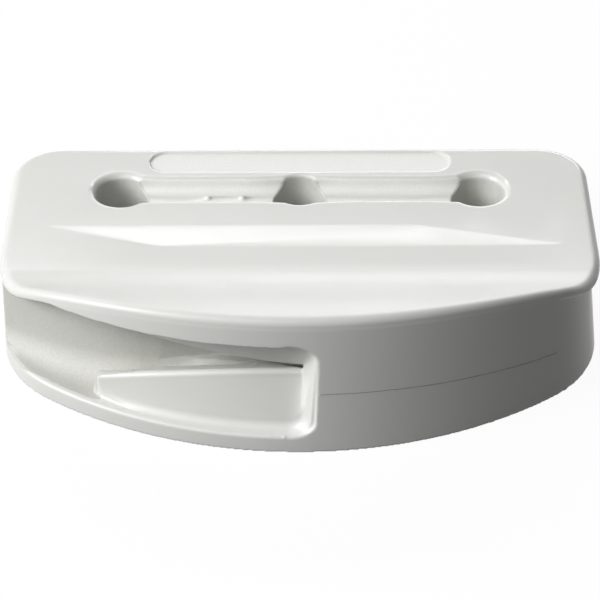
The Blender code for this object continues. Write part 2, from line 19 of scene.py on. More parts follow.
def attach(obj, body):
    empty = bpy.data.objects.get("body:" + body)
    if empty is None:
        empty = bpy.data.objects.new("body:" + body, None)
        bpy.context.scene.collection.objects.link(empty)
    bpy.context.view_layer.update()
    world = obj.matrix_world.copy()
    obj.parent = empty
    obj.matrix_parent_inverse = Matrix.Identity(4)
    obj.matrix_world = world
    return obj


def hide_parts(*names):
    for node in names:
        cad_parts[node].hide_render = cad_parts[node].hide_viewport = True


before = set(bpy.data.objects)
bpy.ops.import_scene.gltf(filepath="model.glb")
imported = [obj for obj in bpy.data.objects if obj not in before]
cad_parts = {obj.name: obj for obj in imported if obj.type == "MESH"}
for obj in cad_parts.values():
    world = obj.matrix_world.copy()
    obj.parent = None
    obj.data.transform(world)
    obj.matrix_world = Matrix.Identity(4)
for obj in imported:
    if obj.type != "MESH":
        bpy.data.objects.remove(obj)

log = logging.getLogger("cleat")

Point = tuple[float, float, float]
Flat = tuple[float, float]
Section = list[Point]

MM = 0.001
BODY = "root"
NODE = "cleat_body"
QUARTER = math.pi / 2
DOWN = -math.pi / 2
# Sockets of a colour Mix node, whose names repeat for each kind of value.
MIX_SHARE = 0
MIX_FIRST = 6
MIX_SECOND = 7
MIX_RESULT = 2


def blend(start: float, end: float, share: float) -> float:
    """Returns the value this share of the way from start to end."""
    return start + (end - start) * share


def share_between(value: float, start: float, end: float) -> float:
    """Returns how far value is from start to end, kept within 0 and 1."""
    return min(max((value - start) / (end - start), 0.0), 1.0)


def ease(share: float) -> float:
    """Returns an S-curve from 0 to 1."""
    return share * share * (3 - 2 * share)


def arc(centre_a: float, centre_b: float, radius: float, start: float, end: float, steps: int) -> list[Flat]:
    """Walks round an arc in any plane.

    Args:
        centre_a: First coordinate of the centre.
        centre_b: Second coordinate of the centre.
        radius: Radius of the arc.
        start: Angle of the first point.
        end: Angle of the last point.
        steps: Number of steps.

    Returns:
        The points, both ends included.
    """
    angles = [blend(start, end, step / steps) for step in range(steps + 1)]
    return [(centre_a + radius * math.cos(a), centre_b + radius * math.sin(a)) for a in angles]


def line(start: Flat, end: Flat, steps: int) -> list[Flat]:
    """Returns points along a straight line, both ends included."""
    shares = [step / steps for step in range(steps + 1)]
    return [(blend(start[0], end[0], s), blend(start[1], end[1], s)) for s in shares]


class Joining(Enum):
    """How a helper solid meets the body."""

    CUT = "DIFFERENCE"
    ADD = "UNION"


class Finish(Enum):
    """Order of the finishes in the body's material list."""

    POLISHED = 0
    # Pocket finish: real grain, with a greyer colour that is painted shade.
    ERODED_PAINTED_SHADE = 1
    # Channel and panel finish: fine grain, with a whiter colour that is painted light.
    FINE_ERODED_PAINTED_LIGHT = 2
    # Bore finish: dull, with a greyer colour that is painted shade.
    CORE_PINS_PAINTED_SHADE = 3


@dataclass(frozen=True)
class Grain:
    """How finely curves are stepped, and the small offsets that keep faces apart."""

    front: int = 150
    corner: int = 36
    side: int = 24
    rear_corner: int = 20
    edge: int = 8
    fillet: int = 12
    ring: int = 96
    stations: int = 60
    overrun: float = 1.0
    stagger: float = 0.04


GRAIN = Grain()


class Solid:
    """Builds closed meshes from sections."""

    @staticmethod
    def finish(bm: bmesh.types.BMesh, name: str) -> bpy.types.Object:
        """Turns a bmesh in millimetres into a closed object in metres that faces out.

        Args:
            bm: Mesh in millimetres, which is freed.
            name: Name of the object.

        Returns:
            The object.
        """
        bmesh.ops.triangulate(bm, faces=bm.faces[:])
        bmesh.ops.recalc_face_normals(bm, faces=bm.faces[:])
        bmesh.ops.scale(bm, vec=(MM, MM, MM), verts=bm.verts[:])
        mesh = bpy.data.meshes.new(name)
        bm.to_mesh(mesh)
        bm.free()
        obj = bpy.data.objects.new(name, mesh)
        bpy.context.scene.collection.objects.link(obj)
        return obj

    @staticmethod
    def skin(bm: bmesh.types.BMesh, rings: list[list[bmesh.types.BMVert]]) -> None:
        """Joins each ring to the next with quads.

        Args:
            bm: Mesh that takes the quads.
            rings: Rings of as many vertices each.
        """
        for lower, upper in zip(rings, rings[1:]):
            count = len(lower)
            for index in range(count):
                following = (index + 1) % count
                bm.faces.new((lower[index], lower[following], upper[following], upper[index]))

    @classmethod
    def loft(cls, name: str, sections: list[Section]) -> bpy.types.Object:
        """Makes a closed solid through sections that have as many points each.

        Args:
            name: Name of the object.
            sections: Sections in order.

        Returns:
            The solid.
        """
        bm = bmesh.new()
        rings = [[bm.verts.new(point) for point in section] for section in sections]
        cls.skin(bm, rings)
        bm.faces.new(rings[0])
        bm.faces.new(rings[-1])
        return cls.finish(bm, name)

    @staticmethod
    def join(body: bpy.types.Object, tool: bpy.types.Object, how: Joining) -> None:
        """Cuts or adds a helper solid and removes the helper.

        Args:
            body: Object that keeps the result.
            tool: Helper solid.
            how: Whether the helper is cut away or added.
        """
        modifier = body.modifiers.new(tool.name, "BOOLEAN")
        modifier.operation = how.value
        modifier.solver = "MANIFOLD"
        modifier.object = tool
        bpy.context.view_layer.update()
        graph = bpy.context.evaluated_depsgraph_get()
        mesh = bpy.data.meshes.new_from_object(body.evaluated_get(graph))
        body.modifiers.clear()
        body.data = mesh
        bpy.data.objects.remove(tool, do_unlink=True)


@dataclass(frozen=True)
class TopProfile:
    """The upper surface: flat flange, hollow fillet and long crown of the hood."""

    flange: float = 11.0
    start_y: float = -3.1
    fillet: float = 10.0
    steepest: float = math.radians(31.0)
    crown: float = 32.0

    def height(self, y: float) -> float:
        """Gives the height of the top over the deck.

        Args:
            y: Place across the cleat.

        Returns:
            The height.
        """
        run = self.start_y - y
        if run <= 0:
            return self.flange
        fillet_run = self.fillet * math.sin(self.steepest)
        if run <= fillet_run:
            return self.flange + self.fillet - math.sqrt(self.fillet**2 - run**2)
        fillet_rise = self.fillet * (1 - math.cos(self.steepest))
        sine = math.sin(self.steepest) - (run - fillet_run) / self.crown
        return self.flange + fillet_rise + self.crown * (math.sqrt(1 - sine**2) - math.cos(self.steepest))


@dataclass(frozen=True)
class Block:
    """The D-shaped block before it is cut."""

    length: float = 64.4
    depth: float = 40.6
    front_radius: float = 45.0
    front_corner: float = 13.0
    rear_corner: float = 5.5
    right_draft: float = 1.0
    left_draft: float = 0.15
    front_draft: float = 0.8
    rear_draft: float = 0.6
    top_round: float = 1.0
    lip_depth: float = 1.3
    lip_chamfer: float = 0.1
    lip_draft: float = 0.05
    top: TopProfile = field(default_factory=TopProfile)

    @property
    def half(self) -> float:
        """Half the length."""
        return self.length / 2

    @property
    def front(self) -> float:
        """Y of the foremost point of the foot."""
        return -self.depth / 2

    @property
    def rear(self) -> float:
        """Y of the rear foot line."""
        return self.depth / 2

    def outline(self, half_length: float, front_y: float, rear_y: float, inset: float = 0.0) -> list[Flat]:
        """Draws the D in plan.

        Args:
            half_length: Half the length of the D.
            front_y: Y of its foremost point.
            rear_y: Y of its straight rear.
            inset: How far the line lies inside the D.

        Returns:
            Points anticlockwise from the left end of the front arc.
        """
        side_x = half_length - inset
        top_y = rear_y - inset
        radius = self.front_radius - inset
        corner = self.front_corner - inset
        rear = self.rear_corner - inset
        arc_y = front_y + inset + radius
        corner_x = side_x - corner
        corner_y = arc_y - math.sqrt((radius - corner) ** 2 - corner_x**2)
        turn = math.asin(corner_x / (radius - corner))
        rear_x = side_x - rear
        rear_low = top_y - rear
        runs = [
            arc(0, arc_y, radius, DOWN - turn, DOWN + turn, GRAIN.front),
            arc(corner_x, corner_y, corner, DOWN + turn, 0, GRAIN.corner),
            line((side_x, corner_y), (side_x, rear_low), GRAIN.side),
            arc(rear_x, rear_low, rear, 0, QUARTER, GRAIN.rear_corner),
            line((rear_x, top_y), (-rear_x, top_y), 1),
            arc(-rear_x, rear_low, rear, QUARTER, math.pi, GRAIN.rear_corner),
            line((-side_x, rear_low), (-side_x, corner_y), GRAIN.side),
            arc(-corner_x, corner_y, corner, -math.pi, DOWN - turn, GRAIN.corner),
        ]
        return [point for run in runs for point in run[:-1]]

    def underside(self, y: float) -> float:
        """Returns the height of the lip's underside."""
        return self.top.height(y) - self.lip_depth

    def foot(self, inset: float = 0.0) -> list[Flat]:
        """Returns the outline on the deck."""
        return self.outline(self.half, self.front, self.rear, inset)

    def neck(self, inset: float = 0.0) -> list[Flat]:
        """Draws the outline just under the lip, with its own draft at each end.

        Args:
            inset: How far the line lies inside the wall.

        Returns:
            The outline's points.
        """
        front_y = self.front + self.front_draft
        rear_y = self.rear - self.rear_draft
        right = self.outline(self.half - self.right_draft, front_y, rear_y, inset)
        left = self.outline(self.half - self.left_draft, front_y, rear_y, inset)
        return [a if b[0] > 0 else b for a, b in zip(right, left)]

    def wall(self, height: float, inset: float) -> list[Flat]:
        """Draws the drafted wall's outline at one height.

        Args:
            height: Height over the deck.
            inset: How far the line lies inside the wall.

        Returns:
            The outline's points.
        """
        points = []
        for low, high in zip(self.foot(inset), self.neck(inset)):
            share = height / self.underside(high[1])
            points.append((blend(low[0], high[0], share), blend(low[1], high[1], share)))
        return points

    def foot_y(self, x: float) -> float:
        """Returns Y of the front wall's foot at this X."""
        return self.front + self.front_radius - math.sqrt(self.front_radius**2 - x**2)

    def front_y(self, x: float, height: float) -> float:
        """Returns Y of the drafted front wall at this X and height."""
        foot_y = self.foot_y(x)
        return foot_y + self.front_draft * height / self.underside(foot_y + self.front_draft)

    def build(self) -> bpy.types.Object:
        """Builds the block: drafted walls, lip, rounded top edge and crowned top.

        Returns:
            The block.
        """
        bm = bmesh.new()
        lip_front = self.front + self.front_draft
        rings = [[(x, y, 0.0) for x, y in self.foot()]]
        rings.append([(x, y, self.underside(y)) for x, y in self.neck()])
        lip = self.outline(self.half, lip_front + GRAIN.stagger, self.rear)
        rings.append([(x, y, self.underside(y) + self.lip_chamfer) for x, y in lip])
        for step in range(GRAIN.edge + 1):
            angle = QUARTER * step / GRAIN.edge
            inset = self.top_round * (1 - math.cos(angle))
            drop = self.top_round * (1 - math.sin(angle))
            brow = self.outline(self.half, lip_front + self.lip_draft, self.rear, inset)
            rings.append([(x, y, self.top.height(y) - drop) for x, y in brow])
        made = [[bm.verts.new(point) for point in ring] for ring in rings]
        Solid.skin(bm, made)
        bm.faces.new(list(reversed(made[0])))
        cap = made[-1]
        middle = GRAIN.front // 2
        for step in range(len(cap) // 2):
            strip = [(middle - step) % len(cap), (middle + step) % len(cap)]
            strip += [(middle + step + 1) % len(cap), (middle - step - 1) % len(cap)]
            bm.faces.new([cap[index] for index in dict.fromkeys(strip)])
        return Solid.finish(bm, "cleat_moulding")


@dataclass(frozen=True)
class Jaws:
    """Tongue and hood jaw, and the pocket and window that leave them standing."""

    block: Block
    floor: float = 2.0
    rim: float = 0.5
    window_top: float = 13.1
    window_fall: float = 0.9
    ceiling_drop: float = 0.1
    wall_left_y: float = -3.0
    wall_y: float = -11.0
    wall_run: float = 19.0
    wall_power: float = 2.0
    wall_fillet: float = 3.6
    wall_fillet_left: float = 2.0
    pocket_end_x: float = -16.6
    pocket_slant: float = 2.1
    slot_end_x: float = 0.3
    window_corner: float = 1.7
    jamb_draft: float = 1.2
    window_reach: float = 2.0
    tip_x: float = -21.6
    tip_height: float = 4.6
    end_height: float = 8.3
    tip_setback: float = 2.2
    end_setback: float = 3.7
    lean: float = 1.4
    foot_fillet: float = 1.1
    crest_round: float = 0.6
    thickness: float = 0.8
    back_fillet: float = 0.9
    tip_round: float = 1.0
    tip_droop: float = 1.1
    jaw_x: float = -14.5
    jaw_height: float = 12.2
    jaw_fall: float = 0.236
    jaw_setback: float = 1.6
    jaw_retreat: float = 0.137
    jaw_blunt: float = 0.3
    lead_slope: float = math.radians(24.0)
    lead_root: float = 9.4
    lead_root_end: float = 8.2
    lead_bite: float = 0.06
    lead_reach: float = 0.9
    ledge: float = 1.6
    groove_end_x: float = -4.6
    groove_end_z: float = 7.0
    groove_end_fillet: float = 1.6
    fillet_pace: float = 2.0
    groove_roof: float = 12.8
    groove_corner: float = 0.7

    def ceiling(self, x: float, y: float) -> float:
        """Returns the height of the pocket's ceiling."""
        top = self.window_top - self.window_fall * (x / self.block.half) ** 2
        return min(top, self.block.underside(y) - self.ceiling_drop)

    def back_wall(self, x: float) -> float:
        """Returns Y of the pocket's back wall, which sweeps forward from the left end."""
        share = share_between(x, -self.block.half, self.wall_run - self.block.half)
        return blend(self.wall_y, self.wall_left_y, (1 - share) ** self.wall_power)

    def rise_share(self, x: float) -> float:
        """Returns 0 at the tongue's tip and 1 at the jamb, rising fast at first."""
        return 1 - (1 - share_between(x, self.tip_x, self.slot_end_x)) ** 2

    def tongue_crest(self, x: float) -> Flat:
        """Places the top of the tongue.

        Args:
            x: Place along the cleat.

        Returns:
            Its Y and Z.
        """
        share = self.rise_share(x)
        y = self.block.foot_y(x) + blend(self.tip_setback, self.end_setback, share)
        return y, blend(self.tip_height, self.end_height, share)

    def tongue_foot(self, x: float) -> float:
        """Returns Y where the tongue's face would meet the floor without its fillet."""
        return self.tongue_crest(x)[0] - self.crest_round - self.lean * self.rise_share(x)

    def jaw_crest(self, x: float) -> Flat:
        """Places the hood jaw's edge.

        Args:
            x: Place along the cleat.

        Returns:
            Its Y and Z.
        """
        along = x - self.jaw_x
        y = self.block.foot_y(x) + self.jaw_setback + self.jaw_retreat * along
        return y, min(self.jaw_height - self.jaw_fall * along, self.ceiling(x, y) - self.jaw_blunt)

    def pocket_places(self) -> list[Flat]:
        """Places the pocket's sections.

        Returns:
            X and flare of each section. The flare rounds the edge at the left end.
        """
        half = self.block.half
        places = [(-half - GRAIN.overrun, self.rim)]
        for step in range(GRAIN.edge + 1):
            angle = QUARTER * step / GRAIN.edge
            inward = self.rim * (1 - math.cos(angle)) - GRAIN.stagger
            places.append((inward - half, self.rim * (1 - math.sin(angle))))
        start_x = places[-1][0]
        for station in range(1, GRAIN.stations + 1):
            places.append((blend(start_x, self.pocket_end_x, station / GRAIN.stations), 0.0))
        return places

    def pocket(self) -> bpy.types.Object:
        """Makes the pocket: floor, hollow corner, back wall and ceiling, with a slanted right end.

        Returns:
            The cutter.
        """
        front_y = self.block.front - GRAIN.overrun
        slant_y = self.tongue_foot(self.pocket_end_x)
        sections = []
        for x, flare in self.pocket_places():
            slant = self.pocket_slant if x == self.pocket_end_x else 0.0
            back_y = self.back_wall(x + slant) + flare
            floor_z = self.floor - flare
            share = share_between(x, -self.block.half, self.pocket_end_x)
            fillet = blend(self.wall_fillet_left, self.wall_fillet, share)
            profile = [(front_y, floor_z)]
            profile += arc(back_y - fillet, floor_z + fillet, fillet, DOWN, 0, GRAIN.fillet)
            for row in range(GRAIN.side + 1):
                y = blend(back_y, front_y, row / GRAIN.side)
                profile.append((y, self.ceiling(x, y)))
            shares = [share_between(y, slant_y, self.wall_y) for y, _ in profile]
            sections.append([(x + slant * s, y, z) for s, (y, z) in zip(shares, profile)])
        return Solid.loft("pocket", sections)

    def rim_cutter(self) -> bpy.types.Object:
        """Makes the cutter that rounds the floor's front rim up to the window.

        Returns:
            The cutter.
        """
        height = self.floor - self.rim
        outer = self.middles(self.block.wall(self.floor, -GRAIN.overrun))
        bands = []
        for inset, level in arc(self.rim, height, self.rim, math.pi, QUARTER, GRAIN.edge):
            bands.append((self.middles(self.block.wall(height, inset - GRAIN.stagger)), level))
        top = self.floor + GRAIN.overrun
        sections = []
        for index, (x, y) in enumerate(outer):
            section = [(x, y, top), (x, y, height)]
            section += [(band[index][0], band[index][1], level) for band, level in bands]
            section.append((section[-1][0], section[-1][1], top))
            sections.append(section)
        end_x = self.slot_end_x - self.window_corner - self.rim / 2
        front_part = [section for section in sections[: GRAIN.front] if section[1][0] < end_x]
        limit_y = self.wall_left_y - self.wall_fillet_left
        left_part = [section for section in sections[-GRAIN.corner :] if section[2][1] < limit_y]
        run_in = [(x - GRAIN.overrun, y + GRAIN.overrun, z) for x, y, z in left_part[0]]
        return Solid.loft("rim", [run_in] + left_part + front_part)

    @staticmethod
    def middles(outline: list[Flat]) -> list[Flat]:
        """Returns the middle of each facet, so that a cutter's corners never meet the wall's."""
        following = outline[1:] + outline[:1]
        return [((a[0] + b[0]) / 2, (a[1] + b[1]) / 2) for a, b in zip(outline, following)]

    def tongue_stock(self) -> bpy.types.Object:
        """Makes the free end of the tongue, before the window trims its front and the lead-in its top.

        Returns:
            The stock.
        """
        end_x = self.pocket_end_x + self.pocket_slant
        low = self.floor - GRAIN.overrun
        places = []
        for step in range(1, GRAIN.fillet + 1):
            angle = QUARTER * step / GRAIN.fillet
            x = self.tip_x + self.tip_round * (1 - math.cos(angle))
            places.append((x, math.sin(angle), 0.0))
        full_x = self.tip_x + self.tip_round
        for step in range(1, GRAIN.side + 1):
            share = step / GRAIN.side
            places.append((blend(full_x, end_x, share), 1.0, GRAIN.overrun * share))
        sections = []
        for x, fullness, reach in places:
            crest_y, crest_z = self.tongue_crest(x)
            middle_y = crest_y + (self.thickness - self.crest_round) / 2
            front_y = blend(middle_y, self.tongue_foot(x) - GRAIN.stagger - reach, fullness)
            back_y = blend(middle_y, crest_y + self.thickness, fullness)
            droop = share_between(x, self.tip_x + self.tip_droop, self.tip_x)
            high = crest_z + self.lead_bite - self.tip_droop * (1 - math.sqrt(1 - droop**2))
            high += GRAIN.overrun * share_between(x, full_x, end_x)
            foot_y = back_y + self.back_fillet
            profile = [(front_y, high), (front_y, low), (foot_y, low)]
            corner_z = self.floor - GRAIN.stagger + self.back_fillet
            profile += arc(foot_y, corner_z, self.back_fillet, DOWN, -math.pi, GRAIN.edge)
            profile.append((back_y, high))
            sections.append([(x, y, z) for y, z in profile])
        return Solid.loft("tongue_stock", sections)

    def frame_edge(self, x: float, wall_y: float, height: float, x_swell: float, z_swell: float) -> Section:
        """Rounds the window's frame at one place.

        Args:
            x: X of the window's side there.
            wall_y: Y of the block's front wall there.
            height: Height of the window's edge there.
            x_swell: How far the rounding spreads along X.
            z_swell: How far the rounding spreads along Z.

        Returns:
            Points from outside to inside.
        """
        points = [(x + x_swell, self.block.front - GRAIN.overrun, height + z_swell)]
        for step in range(GRAIN.edge + 1):
            angle = QUARTER * (1 - step / GRAIN.edge)
            out = 1 - math.cos(angle)
            y = wall_y - GRAIN.stagger + self.rim * (1 - math.sin(angle))
            points.append((x + x_swell * out, y, height + z_swell * out))
        return points

    def window_section(self, back_x: float, front_x: float, rise: float, turn: float, swell: float) -> Section:
        """Draws the window at one place: floor, tongue face, jaw face and lip.

        Args:
            back_x: X of the section at the jaws.
            front_x: X of the section at the block's wall.
            rise: How far the floor rises and the lip drops, for the round corners.
            turn: Angle round the window's corner.
            swell: 1 where the frame's edge is rounded, else 0.

        Returns:
            The section's points.
        """
        crest_y, crest_z = self.tongue_crest(back_x)
        jaw_y, jaw_z = self.jaw_crest(back_x)
        floor_z = self.floor + rise
        wall_y = self.block.front_y(back_x, self.floor)
        foot_y = self.tongue_foot(back_x)
        high_y = self.block.front_y(back_x, self.window_top)
        lip_z = self.ceiling(back_x, high_y) - GRAIN.stagger - rise
        fillet = self.foot_fillet
        corner = arc(foot_y - fillet, floor_z + fillet, fillet, DOWN, 0, GRAIN.edge)
        crest_low = crest_z - self.crest_round
        crest = arc(crest_y, crest_low, self.crest_round, math.pi, QUARTER - self.lead_slope, GRAIN.edge)
        x_swell = self.rim * math.sin(turn) * swell
        z_swell = self.rim * math.cos(turn) * swell
        section = self.frame_edge(front_x, wall_y, floor_z, x_swell, -z_swell)
        for y, z in corner:
            section.append((blend(front_x, back_x, share_between(y, wall_y, foot_y)), y, z))
        section += [(back_x, y, z) for y, z in crest]
        section.append((back_x, jaw_y, jaw_z))
        return section + self.frame_edge(front_x, high_y, lip_z, x_swell, z_swell)[::-1]

    def window(self) -> bpy.types.Object:
        """Makes the window from left of the tongue to the jamb with its rounded corners.

        Returns:
            The cutter.
        """
        start_x = self.tip_x - self.window_reach
        corner_x = self.slot_end_x - self.window_corner
        sections = []
        for station in range(GRAIN.stations + 1):
            x = blend(start_x, corner_x - self.rim, station / GRAIN.stations)
            sections.append(self.window_section(x, x, 0.0, 0.0, 0.0))
        for step in range(GRAIN.fillet + 1):
            angle = QUARTER * step / GRAIN.fillet
            back_x = corner_x + self.window_corner * math.sin(angle)
            front_x = back_x + self.jamb_draft * math.sin(angle)
            rise = self.window_corner * (1 - math.cos(angle))
            sections.append(self.window_section(back_x, front_x, rise, angle, 1.0))
        return Solid.loft("window", sections)

    def lead_in(self) -> bpy.types.Object:
        """Makes the lead-in between the two jaws, with a blunt root at the back wall.

        Returns:
            The cutter.
        """
        start_x = self.tip_x - GRAIN.overrun
        slope = math.tan(self.lead_slope)
        tangent_y = self.crest_round * math.sin(self.lead_slope)
        tangent_z = self.crest_round * math.cos(self.lead_slope) - self.crest_round - self.lead_bite
        sections = []
        for station in range(GRAIN.stations + 1):
            share = station / GRAIN.stations
            x = blend(start_x, self.slot_end_x, share)
            crest_y, crest_z = self.tongue_crest(x)
            jaw_y, jaw_z = self.jaw_crest(x)
            front_y = min(crest_y, jaw_y) - self.lead_reach
            root_y = self.wall_y + GRAIN.stagger
            pivot_z = crest_z + tangent_z
            front_z = pivot_z + (crest_y + tangent_y - front_y) * slope
            root_z = pivot_z + (crest_y + tangent_y - root_y) * slope
            jaw_z = max(jaw_z, front_z + GRAIN.stagger)
            section = [(front_y, front_z), (root_y, root_z)]
            section.append((root_y, blend(self.lead_root, self.lead_root_end, share)))
            section += [(jaw_y - self.jaw_blunt, jaw_z), (front_y, jaw_z)]
            sections.append([(x, y, z) for y, z in section])
        return Solid.loft("lead_in", sections)

    def groove(self) -> bpy.types.Object:
        """Makes the groove that leads the pocket on behind the tongue's ledge, up to the rope way.

        Returns:
            The cutter.
        """
        start_x = self.pocket_end_x - GRAIN.overrun
        slope = math.tan(self.lead_slope)
        sections = []
        for station in range(GRAIN.stations + 1):
            share = station / GRAIN.stations
            x = blend(start_x, self.groove_end_x, share)
            crest_y, crest_z = self.tongue_crest(x)
            front_y = crest_y + self.ledge
            back_y = self.back_wall(x) - GRAIN.stagger
            low = blend(self.floor + GRAIN.stagger, self.groove_end_z, ease(share))
            corner = self.groove_corner
            fillet = blend(self.wall_fillet, self.groove_end_fillet, min(self.fillet_pace * share, 1.0))
            front_top = max(crest_z + self.ledge * slope + corner / 2, low + corner)
            roof = min(blend(self.groove_roof, self.lead_root_end, share), self.ceiling(x, back_y))
            back_top = max(roof, low + fillet)
            profile = arc(front_y + corner, low + corner, corner, math.pi, 3 * QUARTER, GRAIN.edge)
            profile += arc(back_y - fillet, low + fillet, fillet, DOWN, 0, GRAIN.fillet)
            profile += [(back_y, back_top), (front_y + corner, back_top), (front_y, front_top)]
            sections.append([(x, y, z) for y, z in profile])
        return Solid.loft("groove", sections)


@dataclass(frozen=True)
class RopeWay:
    """The closed rope way: it grows out of the lead-in, runs as a toothed V and bends to the outlet."""

    start_x: float = -3.6
    full_x: float = 1.4
    y: float = -13.85
    level: float = 7.5
    half_depth: float = 2.85
    mouth_below: float = 2.3
    mouth_above: float = 2.9
    root_below: float = 0.8
    root_above: float = 0.6
    corner: float = 0.8
    flank_start: float = 1.6
    root_corner: float = 0.4
    root_ease: float = 0.2
    seed_share: float = 0.12
    tooth_x: float = 2.2
    teeth: int = 7
    pitch: float = 2.0
    ramp: float = 1.6
    tooth: float = 0.45
    rake: float = 1.0
    bend_x: float = 6.0
    outlet_x: float = 30.5
    outlet_y: float = 1.2
    outlet_level: float = 4.9
    outlet_width: float = 5.4
    outlet_height: float = 5.2
    outlet_corner: float = 0.9
    outlet_flare: float = 1.1
    run_out: float = 3.0
    heading_step: float = 1.0

    def vee(self, squeeze: float) -> list[Flat]:
        """Draws the V.

        Args:
            squeeze: How far the toothed flanks come together.

        Returns:
            Points across and up, mouth first.
        """
        mouth, root = -self.half_depth, self.half_depth
        low, high = -self.mouth_below, self.mouth_above
        return [
            (mouth, low + self.corner),
            (mouth + self.corner, low),
            (mouth + self.flank_start, low + squeeze),
            (root - self.corner, squeeze - self.root_below - self.root_ease),
            (root, self.root_corner - self.root_below),
            (root, self.root_above - self.root_corner),
            (root - self.corner, self.root_above + self.root_ease - squeeze),
            (mouth + self.flank_start, high - squeeze),
            (mouth + self.corner, high),
            (mouth, high - self.corner),
        ]

    def outlet(self) -> list[Flat]:
        """Draws the outlet.

        Returns:
            Points across and up, in the order of the V's.
        """
        side, high = self.outlet_width / 2, self.outlet_height / 2
        side_end, high_end = side - self.outlet_corner, high - self.outlet_corner
        low_half = [(-side, -high_end), (-side_end, -high), (0.0, -high), (side_end, -high), (side, -high_end)]
        return low_half + [(across, -up) for across, up in reversed(low_half)]

    def station(self, x: float, squeeze: float, size: float, flare: float) -> Section:
        """Draws one section of the rope way.

        Args:
            x: Place along the cleat.
            squeeze: How far the toothed flanks come together.
            size: Share of the full section.
            flare: How far the outlet widens.

        Returns:
            The section's points.
        """
        share = ease(share_between(x, self.bend_x, self.outlet_x))
        centre_y = blend(self.y, self.outlet_y, share)
        level = blend(self.level, self.outlet_level, share)
        next_share = ease(share_between(x + self.heading_step, self.bend_x, self.outlet_x))
        heading = math.atan2(blend(self.y, self.outlet_y, next_share) - centre_y, self.heading_step)
        scale = 1 + flare / (self.outlet_width / 2)
        section = []
        for vee, outlet in zip(self.vee(squeeze), self.outlet()):
            across = blend(vee[0], outlet[0], share) * size * scale
            up = blend(vee[1], outlet[1], share) * size * scale
            along_x = x + self.rake * across / self.half_depth * (1 - share) - across * math.sin(heading)
            section.append((along_x, centre_y + across * math.cos(heading), level + up))
        return section

    def cutter(self) -> bpy.types.Object:
        """Makes the rope way's cutter.

        Returns:
            The cutter.
        """
        sections = [self.station(self.start_x, 0.0, self.seed_share, 0.0)]
        sections.append(self.station(self.full_x, 0.0, 1.0, 0.0))
        for tooth in range(self.teeth):
            x = self.tooth_x + self.pitch * tooth
            sections.append(self.station(x, 0.0, 1.0, 0.0))
            sections.append(self.station(x + self.ramp, self.tooth, 1.0, 0.0))
        bend_x = self.tooth_x + self.pitch * self.teeth
        for step in range(GRAIN.side + 1):
            sections.append(self.station(blend(bend_x, self.outlet_x, step / GRAIN.side), 0.0, 1.0, 0.0))
        for step in range(1, GRAIN.edge + 1):
            share = step / GRAIN.edge
            x = self.outlet_x + self.run_out * share
            sections.append(self.station(x, 0.0, 1.0, self.outlet_flare * share**2))
        return Solid.loft("rope_way", sections)


@dataclass(frozen=True)
class Flange:
    """Screw bores, the channel that joins them and the bare panel behind them."""

    top: float = 11.0
    pitch: float = 19.8
    bore_y: float = 11.8
    bore: float = 5.8
    mouth_round: float = 0.8
    middle_round: float = 0.3
    channel_width: float = 4.1
    channel_depth: float = 1.7
    channel_round: float = 0.5
    channel_foot: float = 1.1
    flare: float = 0.3
    flare_reach: float = 6.0
    panel_length: float = 33.8
    panel_width: float = 4.1
    panel_depth: float = 0.25
    panel_y: float = 17.3

    @property
    def bores(self) -> tuple[float, float, float]:
        """X of the three bores."""
        return (-self.pitch, 0.0, self.pitch)

    def bore_cutter(self, x: float) -> bpy.types.Object:
        """Makes one screw bore with its rounded mouth, which is smaller inside the channel.

        Args:
            x: Place along the cleat. The bore at 0 lies inside the channel.

        Returns:
            The cutter.
        """
        radius = self.bore / 2
        rounding = self.mouth_round if x else self.middle_round
        wide = radius + rounding
        mouth = arc(wide, self.top - rounding, rounding, math.pi, QUARTER, GRAIN.edge)
        profile = [(radius, -GRAIN.overrun)] + mouth[:-1]
        profile += [(wide - GRAIN.stagger, self.top + GRAIN.stagger), (wide, self.top + GRAIN.overrun)]
        sections = []
        for ring_radius, z in profile:
            ring = arc(0, 0, ring_radius, 0, 2 * math.pi, GRAIN.ring)[:-1]
            sections.append([(x + across, self.bore_y + along, z) for across, along in ring])
        return Solid.loft("bore", sections)

    def channel(self) -> bpy.types.Object:
        """Makes the channel between the outer bores, a little wider where it meets each bore.

        Returns:
            The cutter.
        """
        floor_z = self.top - self.channel_depth
        r = self.channel_round
        foot_round = self.channel_foot
        sections = []
        end_x = self.pitch + r
        for station in range(GRAIN.stations + 1):
            x = blend(-end_x, end_x, station / GRAIN.stations)
            near = max(1 - abs(x - bore) / self.flare_reach for bore in self.bores)
            half = self.channel_width / 2 + self.flare * ease(max(near, 0.0))
            foot = arc(half - foot_round, floor_z + foot_round, foot_round, DOWN, 0, GRAIN.fillet)
            brim = arc(half + r, self.top - r, r, math.pi, QUARTER, GRAIN.edge)[:-1]
            rise = [(half + r - GRAIN.stagger, self.top + GRAIN.stagger), (half + r, self.top + GRAIN.overrun)]
            side = foot + brim + rise
            profile = side + [(-across, z) for across, z in reversed(side)]
            sections.append([(x, self.bore_y + across, z) for across, z in profile])
        return Solid.loft("channel", sections)

    def panel(self) -> bpy.types.Object:
        """Makes the bare stadium panel, a shallow recess behind the bores.

        Returns:
            The cutter.
        """
        half = self.panel_width / 2
        end_x = (self.panel_length - self.panel_width) / 2
        ring = arc(end_x, self.panel_y, half, DOWN, QUARTER, GRAIN.corner)
        ring += arc(-end_x, self.panel_y, half, QUARTER, 3 * QUARTER, GRAIN.corner)
        levels = (self.top - self.panel_depth, self.top + GRAIN.overrun)
        return Solid.loft("panel", [[(x, y, z) for x, y in ring] for z in levels])


def linear(colour: str) -> tuple[float, float, float, float]:
    """Turns an sRGB colour to linear.

    Args:
        colour: sRGB hex such as "#E9E9E6".

    Returns:
        Linear red, green, blue and alpha.
    """
    parts = [int(colour[index : index + 2], 16) / 255 for index in (1, 3, 5)]
    red, green, blue = [c / 12.92 if c <= 0.04045 else ((c + 0.055) / 1.055) ** 2.4 for c in parts]
    return (red, green, blue, 1.0)


